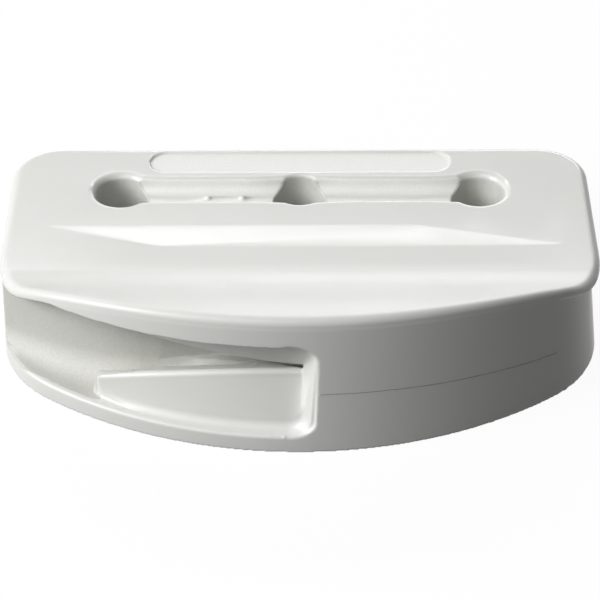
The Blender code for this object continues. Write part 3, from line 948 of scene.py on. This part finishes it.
def add_node(
    tree: bpy.types.NodeTree, kind: str, settings: dict | None = None, links: dict | None = None
) -> bpy.types.Node:
    """Adds a node.

    Args:
        tree: Node tree that takes it.
        kind: Blender's name of the node type.
        settings: Values by socket name, or by property name where no socket has it.
        links: Output sockets by the name of the input that each one feeds.

    Returns:
        The new node.
    """
    node = tree.nodes.new(kind)
    for name, value in (settings or {}).items():
        if name in node.inputs:
            node.inputs[name].default_value = value
        else:
            setattr(node, name, value)
    for name, socket in (links or {}).items():
        tree.links.new(socket, node.inputs[name])
    return node


@dataclass(frozen=True)
class Nylon:
    """What all finishes of white nylon 6 share: its IOR and a little light that enters and leaves again."""

    ior: float = 1.53
    subsurface: float = 0.05
    scatter: Point = (1.0, 0.9, 0.8)

    def start(self, name: str) -> tuple[bpy.types.Material, bpy.types.Node, bpy.types.NodeSocket]:
        """Starts a material.

        Args:
            name: Name of the material.

        Returns:
            The material, its shader and the place on the object.
        """
        material = bpy.data.materials.new(name)
        material.use_nodes = True
        shader = material.node_tree.nodes["Principled BSDF"]
        shader.inputs["IOR"].default_value = self.ior
        shader.inputs["Subsurface Weight"].default_value = self.subsurface
        shader.inputs["Subsurface Scale"].default_value = MM
        shader.inputs["Subsurface Radius"].default_value = self.scatter
        place = add_node(material.node_tree, "ShaderNodeTexCoord").outputs["Object"]
        return material, shader, place


@dataclass(frozen=True)
class MouldedNylon(Nylon):
    """White nylon 6 as it comes from a polished steel mould.

    It gives the eye a clean, slightly warm white with a soft gloss, faint flow clouds in the gloss and
    hardly visible sink waves. The hood is a little more satin than the flange.
    """

    name: str = "nylon_6_white_polished_mould"
    colour: str = "#E7E7E4"
    cloud_colour: str = "#E2E2DE"
    roughness: float = 0.15
    roughness_spread: float = 0.06
    satin: float = 0.2
    satin_from_mm: float = -2.0
    satin_to_mm: float = -5.0
    cloud_mm: float = 9.0
    wave_mm: float = 5.0
    wave_depth_mm: float = 0.01

    def build(self) -> bpy.types.Material:
        """Builds the material.

        Returns:
            The material.
        """
        material, shader, place = self.start(self.name)
        tree = material.node_tree
        clouds = add_node(
            tree, "ShaderNodeTexNoise", {"Scale": 1 / (self.cloud_mm * MM), "Detail": 3.0}, {"Vector": place}
        )
        colour = add_node(tree, "ShaderNodeMix", {"data_type": "RGBA"})
        colour.inputs[MIX_FIRST].default_value = linear(self.colour)
        colour.inputs[MIX_SECOND].default_value = linear(self.cloud_colour)
        tree.links.new(clouds.outputs["Fac"], colour.inputs[MIX_SHARE])
        tree.links.new(colour.outputs[MIX_RESULT], shader.inputs["Base Color"])
        gloss = add_node(
            tree,
            "ShaderNodeMapRange",
            {"To Min": self.roughness, "To Max": self.roughness + self.roughness_spread},
            {"Value": clouds.outputs["Fac"]},
        )
        axes = add_node(tree, "ShaderNodeSeparateXYZ", links={"Vector": place})
        satin = add_node(
            tree,
            "ShaderNodeMapRange",
            {"From Min": self.satin_from_mm * MM, "From Max": self.satin_to_mm * MM, "To Max": self.satin},
            {"Value": axes.outputs["Y"]},
        )
        total = add_node(tree, "ShaderNodeMath", {"operation": "ADD"})
        tree.links.new(gloss.outputs["Result"], total.inputs[0])
        tree.links.new(satin.outputs["Result"], total.inputs[1])
        tree.links.new(total.outputs[0], shader.inputs["Roughness"])
        waves = add_node(
            tree, "ShaderNodeTexNoise", {"Scale": 1 / (self.wave_mm * MM), "Detail": 1.0}, {"Vector": place}
        )
        bump = add_node(
            tree, "ShaderNodeBump", {"Distance": self.wave_depth_mm * MM}, {"Height": waves.outputs["Fac"]}
        )
        tree.links.new(bump.outputs["Normal"], shader.inputs["Normal"])
        return material


@dataclass(frozen=True)
class ErodedNylon(Nylon):
    """White nylon 6 from a spark-eroded mould face.

    It gives the eye a fine, even matt grain. The grit is near 0.15 mm, drawn at 0.25 mm or more so that it
    shows. Its own colours are greyer than the polished white: the grain is real, the grey is painted shade in the
    pocket.
    """

    name: str = "nylon_6_white_spark_eroded_painted_shade"
    # The grey of these colours is painted shade; the pits give the real grain.
    colour: str = "#D6D6D1"
    pit_colour: str = "#C2C2BC"
    roughness: float = 0.62
    grit_mm: float = 0.25
    grit_depth_mm: float = 0.03

    def build(self) -> bpy.types.Material:
        """Builds the material.

        Returns:
            The material.
        """
        material, shader, place = self.start(self.name)
        tree = material.node_tree
        grit = add_node(
            tree, "ShaderNodeTexNoise", {"Scale": 1 / (self.grit_mm * MM), "Detail": 2.0}, {"Vector": place}
        )
        colour = add_node(tree, "ShaderNodeMix", {"data_type": "RGBA"})
        colour.inputs[MIX_FIRST].default_value = linear(self.pit_colour)
        colour.inputs[MIX_SECOND].default_value = linear(self.colour)
        tree.links.new(grit.outputs["Fac"], colour.inputs[MIX_SHARE])
        tree.links.new(colour.outputs[MIX_RESULT], shader.inputs["Base Color"])
        bump = add_node(
            tree, "ShaderNodeBump", {"Distance": self.grit_depth_mm * MM}, {"Height": grit.outputs["Fac"]}
        )
        tree.links.new(bump.outputs["Normal"], shader.inputs["Normal"])
        shader.inputs["Roughness"].default_value = self.roughness
        return material


# Nylon 6 from a finely eroded face, in the channel and the panel: a bright, nearly smooth matt. Its colour is
# whiter than the plastic elsewhere as painted light for the light these sunk faces catch.
FINE_ERODED_PAINTED_LIGHT = ErodedNylon(
    name="nylon_6_white_fine_eroded_painted_light",
    colour="#F3F3F0",
    pit_colour="#E9E9E5",
    roughness=0.42,
    grit_mm=0.3,
    grit_depth_mm=0.02,
)
# Nylon 6 drawn off the core pins of the bores: a dull white, made slightly greyer as painted shade inside the
# bores.
CORE_PINS_PAINTED_SHADE = ErodedNylon(
    name="nylon_6_white_core_pins_painted_shade",
    colour="#D8D8D4",
    pit_colour="#CACAC5",
    roughness=0.5,
    grit_mm=0.4,
    grit_depth_mm=0.01,
)
# Nylon 6 along the parting line, coloured dark grey as painted shade: a thin line that stands for the shade of the
# parting step.
PARTING_LINE_PAINTED_SHADE = ErodedNylon(
    name="nylon_6_parting_line_painted_shade", colour="#A2A29C", pit_colour="#8C8C86", grit_depth_mm=0.01
)


@dataclass(frozen=True)
class MouldMarks:
    """What the mould leaves on the faces: a shallow sink before the hood, pips and the parting line."""

    sink_depth: float = 0.16
    sink_back: float = 4.9
    sink_low: float = 1.2
    sink_front: float = -3.1
    sink_left: Flat = (-27.5, -15.0)
    sink_right: Flat = (12.5, 28.5)
    top_clearance: float = 0.3
    pips: tuple[Flat, ...] = ((-10.3, 12.45), (-6.45, 12.45))
    pip_radius: float = 0.4
    pip_height: float = 0.28
    parting: tuple[Flat, ...] = (
        (2.0, 7.3),
        (4.0, 7.3),
        (9.0, 7.2),
        (13.0, 7.0),
        (17.0, 6.75),
        (20.5, 6.45),
        (24.0, 6.05),
        (27.5, 5.6),
    )
    thread_radius: float = 0.08
    thread_sides: int = 8
    thread_bite: float = 0.06

    def sink(self, block: Block, points: np.ndarray) -> None:
        """Lowers the flat top a little in front of the bores, in place.

        Args:
            block: Block before it is cut.
            points: Vertices in millimetres.
        """
        x, y, z = points.T
        top = np.array([block.top.height(value) for value in y])
        width = self.sink_back - self.sink_low
        back = self.sink_back - width * np.interp(x, self.sink_right, (0.0, 1.0))
        low = self.sink_back - width * np.interp(x, self.sink_left, (0.0, 1.0))
        depth = self.sink_depth * np.clip(back - low, 0.0, width) / width
        falling = np.clip((back - y) / np.maximum(back - low, GRAIN.stagger), 0.0, 1.0)
        rising = np.clip((y - self.sink_front) / (low - self.sink_front), 0.0, 1.0)
        on_top = z > top - self.top_clearance
        points[:, 2] -= np.where(on_top, depth * np.minimum(falling, rising), 0.0)

    def raise_pips(self, flange: Flange, points: np.ndarray) -> None:
        """Raises the two pips on the channel's floor, in place.

        Args:
            flange: Flange with the channel.
            points: Vertices in millimetres.
        """
        x, y, z = points.T
        floor = flange.top - flange.channel_depth
        for pip_x, pip_y in self.pips:
            reach = np.hypot(x - pip_x, y - pip_y) / self.pip_radius
            dome = np.clip(1 - reach**2, 0, 1) ** 0.5
            points[:, 2] += np.where(np.abs(z - floor) < self.top_clearance, self.pip_height * dome, 0.0)

    def thread(self, block: Block) -> bpy.types.Object:
        """Makes the fine parting line on the right half of the front wall.

        Args:
            block: Block before it is cut.

        Returns:
            The line as a piece of its own.
        """
        sections = []
        for (x0, z0), (x1, z1) in zip(self.parting, self.parting[1:]):
            for x, z in line((x0, z0), (x1, z1), GRAIN.edge)[:-1]:
                y = block.front_y(x, z) + self.thread_bite
                ring = arc(y, z, self.thread_radius, 0, 2 * math.pi, self.thread_sides)[:-1]
                sections.append([(x, across, up) for across, up in ring])
        thread = Solid.loft("parting_line", sections)
        thread.data.shade_smooth()
        # The thread's dark grey is painted shade along the parting step, not a colour of the plastic.
        thread.data.materials.append(PARTING_LINE_PAINTED_SHADE.build())
        return thread


@dataclass(frozen=True)
class FinishZones:
    """Where each mould face left its finish, as small distances from the forms. These zones also place painted
    shade and painted light.
    """

    end_inset: float = 0.4
    floor_drop: float = 0.3
    past_wall: float = 0.4
    rearward: float = 0.3
    floor_band: float = 0.15
    behind_front: float = 0.9
    front_reach: float = 32.0
    past_tip: float = 0.6
    ledge_lead: float = 0.6
    ledge_rear: float = 0.2
    channel_low: float = 0.2
    channel_high: float = 0.15
    channel_side: float = 0.45
    panel_low: float = 0.4
    panel_high: float = 0.12
    panel_front: float = 15.0
    panel_rear: float = 19.4
    upward: float = 0.9
    bore_side: float = 0.2
    bore_high: float = 0.5
    bore_low: float = 0.3

    def eroded(self, jaws: Jaws, middles: np.ndarray, facing: np.ndarray) -> np.ndarray:
        """Finds the faces of the pocket and the groove that have the spark-eroded grain and its grey of painted
        shade.

        Args:
            jaws: Jaws and pocket.
            middles: Middle of each face.
            facing: Normal of each face.

        Returns:
            True for each such face.
        """
        x, y, z = middles.T
        block = jaws.block
        wall = np.array([jaws.back_wall(value) for value in x])
        crest = np.array([jaws.tongue_crest(value)[0] for value in x])
        reach = self.front_reach
        front_wall = np.array([block.foot_y(min(max(value, -reach), reach)) for value in x])
        under_lip = z < np.array([block.underside(value) for value in y])
        before_wall = y < wall + self.past_wall
        near = (y > wall - jaws.wall_fillet) & before_wall & (facing[:, 1] < self.rearward)
        inside = (x > self.end_inset - block.half) & (x < jaws.groove_end_x)
        inside &= (z > jaws.floor - self.floor_drop) & under_lip
        floor = (np.abs(z - jaws.floor) < self.floor_band) & (y > front_wall + self.behind_front)
        floor &= (x < jaws.tip_x + self.past_tip) & before_wall
        ledge = (x > jaws.pocket_end_x - self.ledge_lead) & (y < crest + jaws.ledge + self.ledge_rear)
        return inside & (near | floor) & ~ledge

    def finely_eroded_painted_light(self, flange: Flange, middles: np.ndarray, facing: np.ndarray) -> np.ndarray:
        """Finds the faces of the channel and the panel, which get the whiter colour of painted light.

        Args:
            flange: Flange with the channel and the panel.
            middles: Middle of each face.
            facing: Normal of each face.

        Returns:
            True for each such face.
        """
        x, y, z = middles.T
        across = np.abs(y - flange.bore_y)
        sunk = flange.top - flange.channel_depth
        channel = (z > sunk - self.channel_low) & (z < flange.top - self.channel_high)
        channel &= (across < flange.channel_width / 2 + self.channel_side) & (np.abs(x) < flange.pitch)
        panel = (z < flange.top - self.panel_high) & (z > flange.top - self.panel_low)
        panel &= (facing[:, 2] > self.upward) & (y > self.panel_front) & (y < self.panel_rear)
        return channel | panel

    def pins_painted_shade(self, flange: Flange, middles: np.ndarray) -> np.ndarray:
        """Finds the faces of the bores, which get the greyer colour of painted shade.

        Args:
            flange: Flange with the bores.
            middles: Middle of each face.

        Returns:
            True for each such face.
        """
        x, y, z = middles.T
        axis = np.min([np.hypot(x - bore, y - flange.bore_y) for bore in flange.bores], axis=0)
        inside = axis < flange.bore / 2 + self.bore_side
        return inside & (z < flange.top - self.bore_high) & (z > self.bore_low)


@dataclass
class Moulding:
    """The whole cleat as one moulding."""

    block: Block = field(default_factory=Block)
    rope_way: RopeWay = field(default_factory=RopeWay)
    flange: Flange = field(default_factory=Flange)
    marks: MouldMarks = field(default_factory=MouldMarks)
    zones: FinishZones = field(default_factory=FinishZones)
    tallest: float = 16.37
    voxel: float = 0.13
    smooth_factor: float = 0.5
    smoothing: int = 1
    most_faces: int = 180000

    def build(self) -> bpy.types.Object:
        """Builds the block, cuts it, softens its edges and dresses it.

        Returns:
            The body.
        """
        jaws = Jaws(self.block)
        body = self.block.build()
        steps = [
            (jaws.pocket, Joining.CUT),
            (jaws.tongue_stock, Joining.ADD),
            (jaws.window, Joining.CUT),
            (jaws.rim_cutter, Joining.CUT),
            (jaws.lead_in, Joining.CUT),
            (jaws.groove, Joining.CUT),
            (self.rope_way.cutter, Joining.CUT),
            (self.flange.channel, Joining.CUT),
        ]
        for make, how in steps:
            Solid.join(body, make(), how)
            log.info("%s: %d faces", make.__name__, len(body.data.polygons))
        for x in self.flange.bores:
            Solid.join(body, self.flange.bore_cutter(x), Joining.CUT)
        Solid.join(body, self.flange.panel(), Joining.CUT)
        self.soften(body)
        self.dress(body, jaws)
        return body

    def soften(self, body: bpy.types.Object) -> None:
        """Rounds every edge a little, as a mould does, and keeps the face count down.

        Args:
            body: The cut block.
        """
        remesh = body.modifiers.new("remesh", "REMESH")
        remesh.mode = "VOXEL"
        remesh.voxel_size = self.voxel * MM
        smooth = body.modifiers.new("smooth", "SMOOTH")
        smooth.factor = self.smooth_factor
        smooth.iterations = self.smoothing
        self.apply(body)
        self.mark(body)
        triangles = sum(len(face.vertices) - 2 for face in body.data.polygons)
        log.info("softened: %d triangles", triangles)
        if triangles > self.most_faces:
            decimate = body.modifiers.new("decimate", "DECIMATE")
            decimate.ratio = self.most_faces / triangles
            self.apply(body)
        body.data.shade_smooth()

    def mark(self, body: bpy.types.Object) -> None:
        """Moves the vertices where the mould's marks lie, and keeps the top within the solid's.

        Args:
            body: The softened block.
        """
        points = np.empty(len(body.data.vertices) * 3, np.float32)
        body.data.vertices.foreach_get("co", points)
        points = points.reshape(-1, 3) / MM
        self.marks.sink(self.block, points)
        self.marks.raise_pips(self.flange, points)
        points[:, 2] *= min(1.0, self.tallest / points[:, 2].max())
        body.data.vertices.foreach_set("co", (points * MM).astype(np.float32).ravel())

    @staticmethod
    def apply(body: bpy.types.Object) -> None:
        """Leaves the result of the modifiers in the mesh.

        Args:
            body: Object with the modifiers.
        """
        bpy.context.view_layer.update()
        graph = bpy.context.evaluated_depsgraph_get()
        mesh = bpy.data.meshes.new_from_object(body.evaluated_get(graph))
        body.modifiers.clear()
        body.data = mesh

    def dress(self, body: bpy.types.Object, jaws: Jaws) -> None:
        """Gives each face the finish that the mould left there. The pocket and bore finishes
        hold painted shade in their colour, and the channel and panel finish holds painted light.

        Args:
            body: The softened block.
            jaws: Jaws and pocket.
        """
        mesh = body.data
        mesh.materials.clear()
        for finish in (MouldedNylon(), ErodedNylon(), FINE_ERODED_PAINTED_LIGHT, CORE_PINS_PAINTED_SHADE):
            mesh.materials.append(finish.build())
        count = len(mesh.polygons)
        middles = np.empty(count * 3, np.float32)
        normals = np.empty(count * 3, np.float32)
        mesh.polygons.foreach_get("center", middles)
        mesh.polygons.foreach_get("normal", normals)
        middles = middles.reshape(-1, 3) / MM
        facing = normals.reshape(-1, 3)
        finish = np.where(
            self.zones.finely_eroded_painted_light(self.flange, middles, facing), Finish.FINE_ERODED_PAINTED_LIGHT.value, Finish.POLISHED.value
        )
        finish = np.where(self.zones.pins_painted_shade(self.flange, middles), Finish.CORE_PINS_PAINTED_SHADE.value, finish)
        finish = np.where(self.zones.eroded(jaws, middles, facing), Finish.ERODED_PAINTED_SHADE.value, finish)
        mesh.polygons.foreach_set("material_index", finish.astype(np.int32))


@dataclass(frozen=True)
class PhotoCamera:
    """The camera of the photograph, fitted to the cleat's edges."""

    elevation: float = 36.99
    azimuth: float = -0.09
    roll: float = -0.25
    distance: float = 270.0
    focal_px: float = 2534.7
    image_px: float = 600.0
    sensor: float = 36.0
    target: Point = (0.0, -4.7, 8.0)
    nearest: float = 10.0
    farthest: float = 10000.0

    def build(self) -> bpy.types.Object:
        """Builds the camera and makes it the scene's.

        Returns:
            The camera.
        """
        e, a, r = (math.radians(value) for value in (self.elevation, self.azimuth, self.roll))
        forward = Vector((math.sin(a) * math.cos(e), math.cos(a) * math.cos(e), -math.sin(e)))
        level = forward.cross(Vector((0, 0, 1))).normalized()
        upright = level.cross(forward)
        right = level * math.cos(r) + upright * math.sin(r)
        up = upright * math.cos(r) - level * math.sin(r)
        data = bpy.data.cameras.new("photo_camera")
        data.sensor_width = self.sensor
        data.lens = self.focal_px * self.sensor / self.image_px
        data.clip_start = self.nearest * MM
        data.clip_end = self.farthest * MM
        camera = bpy.data.objects.new("photo_camera", data)
        bpy.context.scene.collection.objects.link(camera)
        place = (Vector(self.target) - forward * self.distance) * MM
        camera.matrix_world = Matrix(
            [(right[i], up[i], -forward[i], place[i]) for i in range(3)] + [(0, 0, 0, 1)]
        )
        bpy.context.scene.camera = camera
        return camera


@dataclass(frozen=True)
class Softbox:
    """One soft lamp that looks at the cleat. Azimuth 0 is behind it, -90 on its left."""

    name: str
    azimuth: float
    elevation: float
    distance: float
    size: Flat
    power: float

    def build(self) -> None:
        """Builds the lamp."""
        data = bpy.data.lights.new(self.name, "AREA")
        data.shape = "RECTANGLE"
        data.size = self.size[0] * MM
        data.size_y = self.size[1] * MM
        data.energy = self.power
        lamp = bpy.data.objects.new(self.name, data)
        bpy.context.scene.collection.objects.link(lamp)
        a, e = math.radians(self.azimuth), math.radians(self.elevation)
        away = Vector((math.sin(a) * math.cos(e), math.cos(a) * math.cos(e), math.sin(e)))
        lamp.location = away * self.distance * MM
        lamp.rotation_mode = "QUATERNION"
        lamp.rotation_quaternion = away.to_track_quat("Z", "Y")


@dataclass(frozen=True)
class Studio:
    """Pale floor, white surroundings and soft lamps."""

    floor_half: float = 3000.0
    floor_drop: float = 0.02
    floor_colour: str = "#4A4A4A"
    floor_glow: float = 0.94
    sky_colour: str = "#FFFFFF"
    sky_strength: float = 0.05
    lamps: tuple[Softbox, ...] = (
        Softbox("front_left_softbox", azimuth=-112, elevation=30, distance=450, size=(220, 250), power=1.95),
        Softbox("front_fill", azimuth=-152, elevation=55, distance=450, size=(240, 240), power=0.3),
        Softbox("rear_strip", azimuth=0, elevation=42, distance=480, size=(560, 40), power=0.62),
        Softbox("rear_card", azimuth=9, elevation=17, distance=480, size=(260, 200), power=0.5),
    )

    @staticmethod
    def seen(tree: bpy.types.NodeTree) -> bpy.types.NodeSocket:
        """Tells the rays that show the surroundings, straight, mirrored or through glass.

        Args:
            tree: Node tree that takes the nodes.

        Returns:
            A socket that holds 1 for such a ray, else 0.
        """
        path = add_node(tree, "ShaderNodeLightPath")
        total = path.outputs["Is Camera Ray"]
        for kind in ("Is Glossy Ray", "Is Transmission Ray"):
            adder = add_node(tree, "ShaderNodeMath", {"operation": "ADD", "use_clamp": True})
            tree.links.new(total, adder.inputs[0])
            tree.links.new(path.outputs[kind], adder.inputs[1])
            total = adder.outputs[0]
        return total

    def floor(self) -> None:
        """Builds the floor, which the camera sees as near white with the cleat's soft shadow."""
        bm = bmesh.new()
        half = self.floor_half * MM
        corners = [(-half, -half), (half, -half), (half, half), (-half, half)]
        bm.faces.new([bm.verts.new((x, y, -self.floor_drop * MM)) for x, y in corners])
        mesh = bpy.data.meshes.new("floor")
        bm.to_mesh(mesh)
        bm.free()
        floor = bpy.data.objects.new("floor", mesh)
        bpy.context.scene.collection.objects.link(floor)
        material = bpy.data.materials.new("matt_paper_floor")
        material.use_nodes = True
        tree = material.node_tree
        tree.nodes.clear()
        paper = add_node(tree, "ShaderNodeBsdfDiffuse", {"Color": linear(self.floor_colour)})
        glow = add_node(tree, "ShaderNodeMath", {"operation": "MULTIPLY"})
        tree.links.new(self.seen(tree), glow.inputs[0])
        glow.inputs[1].default_value = self.floor_glow
        white = add_node(
            tree, "ShaderNodeEmission", {"Color": linear(self.sky_colour)}, {"Strength": glow.outputs[0]}
        )
        mix = add_node(tree, "ShaderNodeAddShader")
        tree.links.new(paper.outputs[0], mix.inputs[0])
        tree.links.new(white.outputs[0], mix.inputs[1])
        output = add_node(tree, "ShaderNodeOutputMaterial")
        tree.links.new(mix.outputs[0], output.inputs["Surface"])
        mesh.materials.append(material)

    def sky(self) -> None:
        """Builds the surroundings: white where the camera looks, dimmer as a light."""
        world = bpy.data.worlds.new("studio")
        world.use_nodes = True
        tree = world.node_tree
        tree.nodes.clear()
        seen = add_node(tree, "ShaderNodeBackground", {"Color": linear(self.sky_colour), "Strength": 1.0})
        light = add_node(
            tree, "ShaderNodeBackground", {"Color": linear(self.sky_colour), "Strength": self.sky_strength}
        )
        mix = add_node(tree, "ShaderNodeMixShader")
        tree.links.new(self.seen(tree), mix.inputs[0])
        tree.links.new(light.outputs[0], mix.inputs[1])
        tree.links.new(seen.outputs[0], mix.inputs[2])
        output = add_node(tree, "ShaderNodeOutputWorld")
        tree.links.new(mix.outputs[0], output.inputs["Surface"])
        bpy.context.scene.world = world

    def build(self) -> None:
        """Builds the floor, the surroundings and the lamps."""
        self.floor()
        self.sky()
        for lamp in self.lamps:
            lamp.build()


def main() -> None:
    """Builds the cleat, the studio and the camera, and reports each piece."""
    logging.basicConfig(level=logging.INFO, format="%(name)s: %(message)s")
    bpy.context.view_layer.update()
    moulding = Moulding()
    body = moulding.build()
    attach(body, BODY)
    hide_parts(NODE)
    thread = moulding.marks.thread(moulding.block)
    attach(thread, BODY)
    for piece in (body, thread):
        log.info("%s: %d faces", piece.name, len(piece.data.polygons))
    Studio().build()
    PhotoCamera().build()
    bpy.context.scene.view_settings.view_transform = "Standard"


if __name__ == "__main__":
    main()
